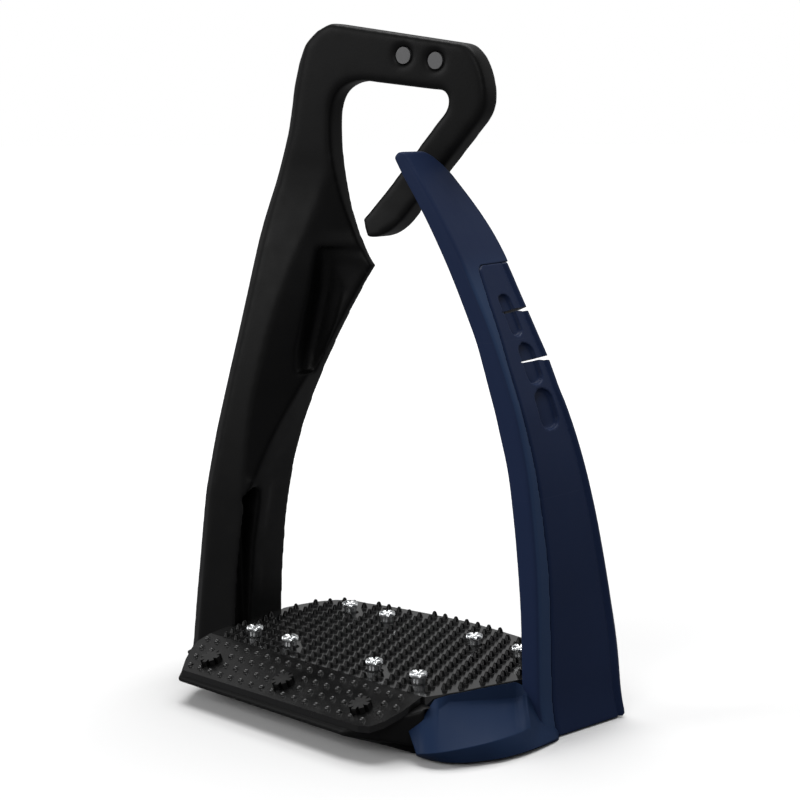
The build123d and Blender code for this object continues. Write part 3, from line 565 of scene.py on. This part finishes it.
def knee_relief():
    """Relief open to the front, running out towards the knee."""
    layers = []
    for z, x0, depth in KNEE_RELIEF:
        front = along(BRANCH_FRONT, z) - 3
        back = along(BRANCH_BACK, z) - 3.0 - (4.0 - depth)
        knee = along(KNEE, z)
        layers.append((z, [(x0 + 0.3, front), (knee + 8, front), (knee + 8, 9.0), (knee, 9.0),
                           (x0 + 2.2, back), (x0 + 0.3, back - 1.0)]))
    return stack_z(layers)


def build_branch():
    """The loaded main frame with its reliefs recut and its edges rounded."""
    obj = link_mesh("branch_and_footbed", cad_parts["main_frame"].data.copy())
    obj.data.transform(Matrix.Scale(1 / MM, 4))
    fix_normals(obj)
    boolean(obj, [relief_filler()], "UNION")
    cutters = [prism_x(GROOVE, -58.4, -40), knee_relief(),
               stack_z([(z, FOOTBED_END) for z in (4.0, 14.38)])]
    obj.data.validate()
    boolean(obj, cutters)
    remesh(obj, 0.6)
    relax(obj, 3)
    relax(obj, 16, lambda z: ease(z, 140, 165))
    relax(obj, 9, lambda z: ease(z, 20, 40) * (1 - ease(z, 140, 165)))
    thin(obj, 0.3)
    finish_piece(obj, "branch_and_footbed", "frame_moulded_black", sharp=60)
    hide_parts("main_frame")


build_branch()

# ---------------------------------------------------------------- flexible arm
ARM_VOXEL = 0.34
# edge radii of the sleeve's section
INNER_FRONT_R, INNER_BACK_R, OUTER_BACK_R, OUTER_FRONT_R = 0.9, 0.8, 0.7, 1.5
# z, shift of y from the arm's back face: rounds the tip's back corner
TIP_CORNER = [(169.7, -7.6), (169.2, -5.2), (167.9, -3.0), (165.9, -1.3), (163.0, -0.2),
              (160.0, 0.5)]
# (y, z) outline cut from the foot's back corner
FOOT_CORNER = [(14.6, -2), (15.9, 0.6), (17.4, 2.2), (18.8, 4.4), (20.0, 7.4), (28, 7.4),
               (28, -2)]


def z_steps(z0, z1, step=1.5):
    n = max(2, int(round((z1 - z0) / step)) + 1)
    return [z0 + (z1 - z0) * i / (n - 1) for i in range(n)]


def section(z, places):
    """Ring at height z through (s, t) places."""
    return [arm_at(z, s, t) for s, t in places]


def box_section(z, s0, s1, t0, t1):
    return section(z, [(s0, t0), (s1, t0), (s1, t1), (s0, t1)])


def rounded_section(z):
    """Section of the whole arm with rounded edges."""
    thick, length = arm_thickness(z), arm_length(z)
    corners = [(0, 0, INNER_FRONT_R, 180), (length, 0, INNER_BACK_R, 270),
               (length, thick, OUTER_BACK_R, 0), (0, thick, OUTER_FRONT_R, 90)]
    ring = []
    for s, across, r, start in corners:
        centre_s = s + (r if s == 0 else -r)
        centre_t = across + (r if across == 0 else -r)
        for i in range(5):
            a = math.radians(start + 90 * i / 4)
            ring.append(arm_at(z, centre_s + r * math.cos(a),
                               (centre_t + r * math.sin(a)) / thick))
    return ring


def seam_at(z, top, gap=0.0):
    """s of the seam, curving back over a panel that ends at top."""
    s = along(SEAM, z) + gap
    below = top - z
    if below < SEAM_ROUND:
        s += SEAM_ROUND - math.sqrt(max(0, SEAM_ROUND**2 - (SEAM_ROUND - below) ** 2))
    return s


def pocket_cutter(z0, z1, s0, s1):
    """Round-cornered pocket in the outer face, half as deep at its back edge."""
    r = (s1 - s0) * 0.36
    rings = []
    for i in range(17):
        z = z0 + (z1 - z0) * (i / 16)
        d = min(z - z0, z1 - z)
        inset = 0.0 if d >= r else r - math.sqrt(max(0.0, r * r - (r - d) ** 2))
        inset = min(inset, (s1 - s0) / 2 - 0.5)
        front, back = s0 + inset, s1 - inset
        rings.append(section(z, [(front, 1 - POCKET_DEPTH), (back, 1 - POCKET_DEPTH * 0.5),
                                 (back, 1.5), (front, 1.5)]))
    return sweep("cut", rings)


def slit_cutter(z0, gap, widening, s_front, slope):
    """Wedge square to the arm's lean, widening downwards to the back."""
    rings = []
    middle = arm_at(z0, 12, 0.5)[0]
    y_front, y_back = s_front + ARM_Y, ARM_Y + 40.0
    y_bend = ARM_Y + s_front + (arm_length(z0) - s_front) * 0.58
    for x in (middle - 12, middle + 12):
        dz = slope * (x - middle)
        top, bottom = z0 + gap * 0.5, z0 - gap * 0.5
        rings.append([(x, y_front, top + dz), (x, y_back, top + dz),
                      (x, y_back, bottom - widening * 2.2 + dz),
                      (x, y_bend, bottom - widening * 0.15 + dz),
                      (x, y_front, bottom + dz)])
    return sweep("cut", rings)


def build_sleeve():
    """Whole arm, hollowed for the panel and the blade and trimmed at the tip."""
    sleeve = sweep("sleeve", [rounded_section(z) for z in z_steps(FOOT_Z, ARM_TOP)])
    top = PANEL_TOP + 0.02
    panel_room, blade_room, blade_slot = [], [], []
    for z in z_steps(FOOT_Z - 2, top):
        back = arm_length(z) + 3
        panel_room.append(box_section(z, seam_at(z, top), back, BLADE_T1 + 0.01, 1.6))
        blade_room.append(box_section(z, along(BLADE, z) - BLADE_GAP_FRONT, back,
                                      BLADE_T0 - 0.01, BLADE_T1 + 0.1))
    for z in z_steps(PANEL_TOP - 1, 150.6):
        blade_slot.append(box_section(z, along(BLADE, z) - BLADE_GAP_FRONT,
                                      along(BLADE, z, 2) + BLADE_GAP_BACK,
                                      BLADE_T0 - 0.01, BLADE_T1 + 0.01))
    cutters = [sweep("cut", rings) for rings in (panel_room, blade_room, blade_slot)]
    # wedge off the tip's inner side
    cutters.append(sweep("cut", [[(4, y, 159.6), (4, y, 176), (19.6, y, 176)]
                                 for y in (-30, 20)]))
    corner = [(arm_at(z, arm_length(z), 0.5)[1] + shift, z) for z, shift in TIP_CORNER]
    outline = [(corner[0][0], 176)] + corner + [(30, 160.0), (30, 176)]
    cutters.append(prism_x(outline, 0, 40))
    boolean(sleeve, cutters)
    return sleeve


def build_panel():
    """Hard panel over the outer back of the arm, with a bead along its back edge."""
    rings = []
    t_low = BLADE_T1 + 0.03
    for z in z_steps(FOOT_Z, PANEL_TOP, 1.2):
        back, thick = arm_length(z), arm_thickness(z)
        seam = seam_at(z, PANEL_TOP, gap=0.36)
        step = max(along(BLADE, z, 2) + BLADE_GAP_BACK, seam + 1.0)
        rings.append(section(z, [
            (seam, t_low), (step, t_low), (step, BLADE_T0 + 0.01), (back, BLADE_T0 + 0.01),
            (back, 1.0 - 0.9 / thick), (back - 1.3, 1.0 - 0.05 / thick),
            (back - 2.5, 1.0 + 0.62 / thick), (back - 3.3, 1.0 + 0.62 / thick),
            (back - 4.3, 1.0 - 0.42 / thick), (back - 5.0, 1.0),
            (seam + 0.7, 1.0), (seam, 1.0 - 0.55 / thick)]))
    panel = sweep("panel", rings)
    boolean(panel, [pocket_cutter(*pocket) for pocket in POCKETS])
    return panel


def build_blade():
    """Spring blade inside the arm."""
    return sweep("blade", [box_section(z, along(BLADE, z), along(BLADE, z, 2),
                                       BLADE_T0 + 0.03, BLADE_T1 - 0.03)
                           for z in z_steps(2.6, 149.8, 1.0)])


def soften_and_slit(obj):
    boolean(obj, [prism_x(FOOT_CORNER, 45, 80)])
    remesh(obj, ARM_VOXEL)
    relax(obj, 2)
    relax(obj, 26, lambda z: ease(z, 161.5, 167))
    boolean(obj, [slit_cutter(*slit) for slit in SLITS])


def split_zones(obj):
    """Cuts a closed solid at ARM_CUTS into closed pieces whose rims match."""
    parts = []
    limits = [None, *ARM_CUTS, None]
    for low, high in zip(limits, limits[1:]):
        bm = bmesh.new()
        bm.from_mesh(obj.data)
        for z, keep_above in ((low, True), (high, False)):
            if z is None:
                continue
            cut = bmesh.ops.bisect_plane(
                bm, geom=bm.verts[:] + bm.edges[:] + bm.faces[:], plane_co=(0, 0, z),
                plane_no=(0, 0, 1), clear_inner=keep_above, clear_outer=not keep_above)
            rim = [g for g in cut["geom_cut"] if isinstance(g, bmesh.types.BMEdge)]
            caps = bmesh.ops.holes_fill(bm, edges=rim, sides=0)["faces"]
            bmesh.ops.triangulate(bm, faces=caps)
        mesh = bpy.data.meshes.new("z")
        bm.to_mesh(mesh)
        bm.free()
        parts.append(link_mesh("z", mesh))
    bpy.data.objects.remove(obj)
    return parts


def blend_zones(obj, name, slot, replaced):
    """Splits an arm piece into three parts, finishes each and hides the loaded pieces they
    replace.
    """
    parts = split_zones(obj)
    for part, suffix, (lower, upper, z0, z1) in zip(parts, ("low", "mid", "top"), ARM_ZONES):
        finish_piece(part, f"{name}_{suffix}", slot, sharp=50, body=None)
        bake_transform(part)
    for part, names in zip(parts, replaced):
        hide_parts(*names)


arm_sleeve = build_sleeve()
arm_panel = build_panel()
for shell in (arm_sleeve, arm_panel):
    soften_and_slit(shell)
blend_zones(arm_sleeve, "arm_sleeve", "navy_elastomer",
            [["arm_sleeve_lower"], ["arm_sleeve_middle"], ["arm_sleeve_upper"]])
blend_zones(arm_panel, "arm_panel", "navy_hard_shell",
            [["arm_panel_foot", "arm_panel_lower"], ["arm_panel_middle"], ["arm_panel_upper"]])
blend_zones(build_blade(), "spring_blade_strip", "spring_steel", [["spring_blade"], [], []])

# ---------------------------------------------------------------- corner shoe
# Rails round the footbed's front +x corner, from its front round to the arm's foot.
SHOE_STEPS = 4  # steps per span of a rail
# (x, y) of the bottom edge at z = 0, then of the lower side at z = 1
SHOE_BOTTOM = [
    (36.9, -47.1), (39.8, -48.0), (44.0, -48.4), (48.0, -47.5), (52.3, -44.9), (55.9, -41.0),
    (59.2, -36.7), (61.7, -30.5), (62.7, -26.8), (63.7, -22.6), (64.7, -18.4), (65.1, -14.2),
    (63.2, -10.0)]
SHOE_SIDE = [
    (38.6, -50.0), (41.6, -51.0), (45.8, -51.4), (49.8, -50.6), (54.1, -48.1), (57.6, -44.1),
    (60.8, -39.6), (63.0, -33.8), (64.0, -30.0), (64.7, -25.6), (65.2, -20.4), (65.3, -15.4),
    (63.2, -10.2)]
# (x, y, z) of the shoulder and of the three rails inside it
SHOE_SHOULDER = [
    (41.3, -54.1, 3.0), (43.5, -54.7, 3.6), (47.3, -54.6, 4.4), (50.9, -52.5, 5.0),
    (54.4, -48.6, 5.5), (57.5, -43.9, 5.9), (59.9, -37.9, 6.1), (61.4, -30.6, 6.1),
    (61.6, -24.5, 5.9), (61.1, -17.9, 5.5), (62.3, -15.6, 4.0), (63.4, -12.7, 2.6),
    (63.0, -10.3, 1.6)]
SHOE_UPPER = [
    (37.08, -51.41, 8.06), (40.37, -49.49, 10.97), (42.4, -45.3, 13.15),
    (43.27, -39.48, 14.62), (45.7, -34.59, 13.93), (48.07, -28.99, 13.09),
    (50.77, -23.2, 12.3), (53.5, -18.6, 11.95), (56.5, -17.66, 13.5), (60.75, -17.62, 5.9),
    (62.05, -15.6, 4.35), (63.1, -12.7, 2.95), (62.6, -10.3, 1.8)]
SHOE_RIM = [
    (36.4, -50.4, 8.3), (39.6, -48.6, 11.2), (40.9, -43.5, 16.1), (43.27, -39.48, 16.72),
    (45.7, -34.59, 16.72), (48.07, -28.99, 16.72), (50.77, -23.2, 16.72),
    (53.25, -18.33, 16.72), (56.6, -16.6, 15.0), (60.2, -16.6, 6.6), (61.2, -15.5, 4.5),
    (62.2, -12.6, 3.1), (61.8, -10.2, 2.0)]
SHOE_INSIDE = [
    (36.0, -48.0, 8.3), (38.2, -46.2, 11.2), (39.6, -43.0, 14.2), (42.0, -39.0, 14.4),
    (44.4, -34.1, 14.4), (46.8, -28.5, 14.4), (49.5, -22.7, 14.4), (52.0, -17.2, 14.4),
    (54.6, -15.6, 11.0), (58.0, -15.6, 6.0), (59.8, -15.2, 4.5), (60.8, -12.3, 3.1),
    (60.4, -10.0, 2.0)]
# wall beside the arm's foot: (x, y) in tread axes, then z and scale about WALL_CENTRE
WALL = [(49.0, 3.0), (57.25, 3.0), (57.25, 26.6), (56.9, 27.9), (55.9, 28.8), (54.6, 29.0),
        (49.0, 26.6)]
WALL_CENTRE = (53.5, 15.0)
WALL_LAYERS = [(1.0, 0.955), (1.35, 0.985), (2.0, 1.0), (12.6, 1.0), (13.25, 0.985),
               (13.6, 0.955)]


def curved_rail(points):
    """Points along a Catmull-Rom curve."""
    pts = [np.array(p, float) for p in points]
    last = len(pts) - 1
    out = []
    for i in range(last):
        p0, p1, p2, p3 = pts[max(0, i - 1)], pts[i], pts[i + 1], pts[min(last, i + 2)]
        for j in range(SHOE_STEPS):
            u = j / SHOE_STEPS
            out.append(tuple(0.5 * ((2 * p1) + (-p0 + p2) * u
                                    + (2 * p0 - 5 * p1 + 4 * p2 - p3) * u * u
                                    + (-p0 + 3 * p1 - 3 * p2 + p3) * u**3)))
    return out + [tuple(pts[-1])]


def straight_rail(points):
    pts = [np.array(p, float) for p in points]
    return [tuple(a + (b - a) * j / SHOE_STEPS)
            for a, b in zip(pts, pts[1:]) for j in range(SHOE_STEPS)] + [tuple(pts[-1])]


def scaled(x, y, centre, k):
    return centre[0] + (x - centre[0]) * k, centre[1] + (y - centre[1]) * k


def build_shoe():
    """Shell closed round through ten rails, capped at both ends."""
    bottom = curved_rail([(x, y, 0.0) for x, y in SHOE_BOTTOM])
    side = curved_rail([(x, y, 1.0) for x, y in SHOE_SIDE])
    shoulder = curved_rail(SHOE_SHOULDER)
    bulge = np.array((0.12, -0.20, 0.05))
    between = [tuple(0.45 * np.array(a) + 0.55 * np.array(b) + bulge)
               for a, b in zip(side, shoulder)]

    def pulled_in(k, z):
        return [(*scaled(x, y, (54.0, -18.0), k), z) for x, y, _ in bottom]

    rails = [pulled_in(0.55, 0.0), pulled_in(0.90, 0.0), bottom, side, between, shoulder,
             straight_rail(SHOE_UPPER), straight_rail(SHOE_RIM), straight_rail(SHOE_INSIDE),
             pulled_in(0.50, 2.4)]
    n = len(bottom)
    faces = []
    for i in range(len(rails)):
        a, b = i * n, (i + 1) % len(rails) * n
        for j in range(n - 1):
            faces.append((a + j, a + j + 1, b + j + 1, b + j))
    faces.append(tuple(i * n for i in range(len(rails))))
    faces.append(tuple(i * n + n - 1 for i in range(len(rails)))[::-1])
    shoe = new_object("shoe", [p for rail in rails for p in rail], faces)
    fix_normals(shoe)
    bevel = shoe.modifiers.new("bevel", "BEVEL")
    bevel.width = 0.42
    bevel.segments = 3
    bevel.limit_method = "ANGLE"
    bevel.angle_limit = math.radians(30)
    bake(shoe)
    finish_piece(shoe, "corner_shoe_shell", "navy_hard_shell", sharp=38, look="shoe_navy")
    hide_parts("corner_shoe")


def build_shoe_wall():
    wall = sweep("wall", [[from_tread(*scaled(x, y, WALL_CENTRE, k), z) for x, y in WALL]
                          for z, k in WALL_LAYERS])
    finish_piece(wall, "corner_shoe_wall", "navy_hard_shell", sharp=30, look="shoe_navy")


build_shoe()
build_shoe_wall()

# ---------------------------------------------------------------- spikes, studs and domes
GRIP_PITCH = 5.0  # along x; every other row is shifted by half of it
SPIKE_HEIGHT = 1.8
# radius, height above the surface
SPIKE = [(1.36, -0.15), (1.12, 0.06), (1.0, 0.25), (0.86, 0.45 * SPIKE_HEIGHT),
         (0.66, 0.72 * SPIKE_HEIGHT), (0.50, 0.90 * SPIKE_HEIGHT), (0.26, SPIKE_HEIGHT)]
DOME_R = 0.95
DOME = [(1.25 * DOME_R, -0.12), (1.06 * DOME_R, 0.04)]
DOME += [(math.cos(math.radians(a)) * DOME_R, math.sin(math.radians(a)) + 0.06)
         for a in (12, 35, 58, 78)]
CROWN = [(1.5, -2.6), (2.05, -0.3), (2.05, 1.75), (2.15, 2.0), (2.55, 2.2), (2.68, 2.45),
         (2.66, 3.0), (2.5, 3.4), (2.2, 3.6), (1.7, 3.6), (1.1, 3.35), (0.5, 3.0)]
CROWN_SEGMENTS = 64


def add_turned(verts, faces, base, axis, profile, segments):
    """Adds a (radius, height) profile turned about an axis."""
    axis = Vector(axis).normalized()
    u = axis.orthogonal().normalized()
    v = axis.cross(u)
    base = Vector(base)
    angles = [2 * math.pi * j / segments for j in range(segments)]
    add_tube(verts, faces, [[base + u * (r * math.cos(a)) + v * (r * math.sin(a)) + axis * h
                             for a in angles] for r, h in profile])


def near_stud(x, y, studs, gap):
    return any(math.hypot(x - a, y - b) < gap for a, b in studs)


def spike_fits(x, y):
    """True clear of the pad's edge, the studs and the feet of the branch and arm."""
    margin = 0.8 if y < -30 and abs(x) < 46 else 1.5
    if not inside((x, y), PAD) or edge_distance((x, y), PAD) < margin:
        return False
    if near_stud(x, y, TREAD_STUDS, 3.9):
        return False
    wx, wy, _ = from_tread(x, y)
    if wx < -53.4 and -11.5 < wy < 20.5:
        return False
    return not (wx > 52.2 + 0.27 * (wy - ARM_Y) - 0.6 and wy > -20.5)


def build_spikes():
    verts, faces = [], []
    for row in range(-20, 21):
        for col in range(-20, 21):
            x = -14.75 + GRIP_PITCH * (col + (0.5 if row % 2 else 0.0))
            y = -11.5 + 4.33 * row
            if spike_fits(x, y):
                add_turned(verts, faces, from_tread(x, y, TREAD_Z), (0, 0, 1), SPIKE, 10)
    spikes = new_object("tread_spikes", verts, faces)
    finish_piece(spikes, "tread_spikes", "tread_black", sharp=50, look="spike_black")


def build_crowns():
    """Round steel studs, each with six notches in its crown."""
    verts, faces = [], []
    for stud_x, stud_y in TREAD_STUDS:
        rings = []
        for r, h in CROWN:
            ring = []
            for j in range(CROWN_SEGMENTS):
                a = 2 * math.pi * j / CROWN_SEGMENTS
                notch = ease(math.cos(6 * a), 0.1, 0.7) * max(0.0, min(1.0, (h - 2.45) / 0.5))
                drop = 0.6 * float(notch) * (1.0 if r > 1.2 else 0.6)
                ring.append(from_tread(stud_x + r * math.cos(a + 0.35),
                                       stud_y + r * math.sin(a + 0.35), TREAD_Z + h - drop))
            rings.append(ring)
        add_tube(verts, faces, rings)
    crowns = new_object("tread_stud_crowns", verts, faces)
    finish_piece(crowns, "tread_stud_crowns", "stud_steel", sharp=42)
    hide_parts("tread_studs")


def build_domes():
    verts, faces = [], []
    normal = Vector(from_tread(0, -math.sin(RAMP_SLOPE), math.cos(RAMP_SLOPE)))
    for row in range(4):
        y = -37.0 - 4.15 * row
        z = TREAD_Z + (y - RAMP_Y) * math.tan(RAMP_SLOPE)
        for col in range(-14, 15):
            x = -12.25 + GRIP_PITCH * (col + (0.5 if row % 2 else 0.0))
            if not inside((x, y), RAMP) or edge_distance((x, y), RAMP) < 1.5:
                continue
            if not near_stud(x, y, RAMP_STUDS, 4.2):
                add_turned(verts, faces, from_tread(x, y, z), normal, DOME, 12)
    domes = new_object("ramp_domes", verts, faces)
    finish_piece(domes, "ramp_domes", "ramp_black", sharp=60, look="dome_black")


build_spikes()
build_crowns()
build_domes()


# ---------------------------------------------------------------- stage, light and camera (m)
def build_floor():
    """Near-white floor that only the camera sees as bright; other rays meet a dim grey."""
    made = bpy.data.materials.new("floor")
    made.use_nodes = True
    tree = made.node_tree
    seen = tree.nodes["Principled BSDF"]
    coords = add_node(tree, "TexCoord").outputs["Object"]
    length = add_node(tree, "VectorMath", operation="LENGTH")
    centre = (0.0, 0.0, 0.0)
    offset = add_node(tree, "VectorMath", {0: coords, 1: centre}, operation="SUBTRACT")
    set_inputs(tree, length, {0: offset.outputs["Vector"]})
    # brightness rises with distance from the centre
    shade = map_range(tree, length.outputs["Value"], (0.10, 0.42), (0.80, 0.985))
    set_inputs(tree, seen, {"Base Color": shade, "Roughness": 0.95, "Specular IOR Level": 0.0})
    path = add_node(tree, "LightPath")
    dim = add_node(tree, "BsdfDiffuse", {"Color": (0.20, 0.20, 0.205, 1)})
    mix = add_node(tree, "MixShader", {"Fac": path.outputs["Is Camera Ray"],
                                       1: dim.outputs["BSDF"], 2: seen.outputs["BSDF"]})
    set_inputs(tree, tree.nodes["Material Output"], {"Surface": mix.outputs["Shader"]})
    bpy.ops.mesh.primitive_plane_add(size=40, location=(0, 0, -0.0002))
    floor = bpy.context.object
    floor.name = "floor"
    floor.data.materials.append(made)


def build_world():
    """White world with its own strength for camera, glossy and all other rays."""
    world = bpy.data.worlds.new("studio")
    bpy.context.scene.world = world
    world.use_nodes = True
    tree = world.node_tree
    white = (1, 1, 1, 1)
    ambient = tree.nodes["Background"]
    set_inputs(tree, ambient, {"Color": white, "Strength": 0.16})
    seen = add_node(tree, "Background", {"Color": white, "Strength": 1.0})
    path = add_node(tree, "LightPath")
    camera_mix = add_node(tree, "MixShader", {"Fac": path.outputs["Is Camera Ray"]})
    gloss = add_node(tree, "Background", {"Color": white, "Strength": 0.34})
    gloss_mix = add_node(tree, "MixShader", {"Fac": path.outputs["Is Glossy Ray"],
                                             1: ambient.outputs["Background"],
                                             2: gloss.outputs["Background"]})
    set_inputs(tree, camera_mix, {1: gloss_mix.outputs["Shader"],
                                  2: seen.outputs["Background"]})
    set_inputs(tree, tree.nodes["World Output"], {"Surface": camera_mix.outputs["Shader"]})


def add_light(name, kind, energy, place, target=(0, 0, 0), **settings):
    light = bpy.data.lights.new(name, kind)
    light.energy = energy
    for key, value in settings.items():
        setattr(light, key, value)
    obj = bpy.data.objects.new(name, light)
    obj.location = place
    aim = Vector(target) - Vector(place)
    obj.rotation_euler = aim.to_track_quat("-Z", "Y").to_euler()
    bpy.context.scene.collection.objects.link(obj)


def build_camera():
    azimuth, elevation, roll = (math.radians(a) for a in (32.103, 7.871, -0.448))
    camera = bpy.data.cameras.new("camera")
    camera.sensor_width = 36.0
    camera.lens = 87.3323415
    camera.clip_start = 0.01
    obj = bpy.data.objects.new("camera", camera)
    bpy.context.scene.collection.objects.link(obj)
    back = Vector((math.sin(azimuth) * math.cos(elevation),
                   -math.cos(azimuth) * math.cos(elevation), math.sin(elevation)))
    right = Vector((math.cos(azimuth), math.sin(azimuth), 0))
    up = back.cross(right)
    rolled_right = right * math.cos(roll) + up * math.sin(roll)
    rolled_up = up * math.cos(roll) - right * math.sin(roll)
    pose = Matrix((rolled_right, rolled_up, back)).transposed().to_4x4()
    pose.translation = Vector((0.3161, -0.4993, 0.1752))
    obj.matrix_world = pose
    bpy.context.scene.camera = obj


build_floor()
build_world()
add_light("overhead", "SUN", energy=3.15, place=(-0.10, 0.30, 1.0), angle=math.radians(56))
add_light("left_front", "AREA", energy=9, place=(-1.1, -1.1, 0.7), target=(0, 0, 0.1), size=0.7)
add_light("front_fill", "AREA", energy=6, place=(0.35, -1.5, 0.9), target=(0, 0, 0.05), size=0.6)
add_light("right_back", "AREA", energy=1.0, place=(1.1, 0.9, 0.7), target=(0, 0, 0.1), size=0.5)
build_camera()
bpy.context.scene.view_settings.view_transform = "Standard"
bpy.context.scene.view_settings.look = "None"
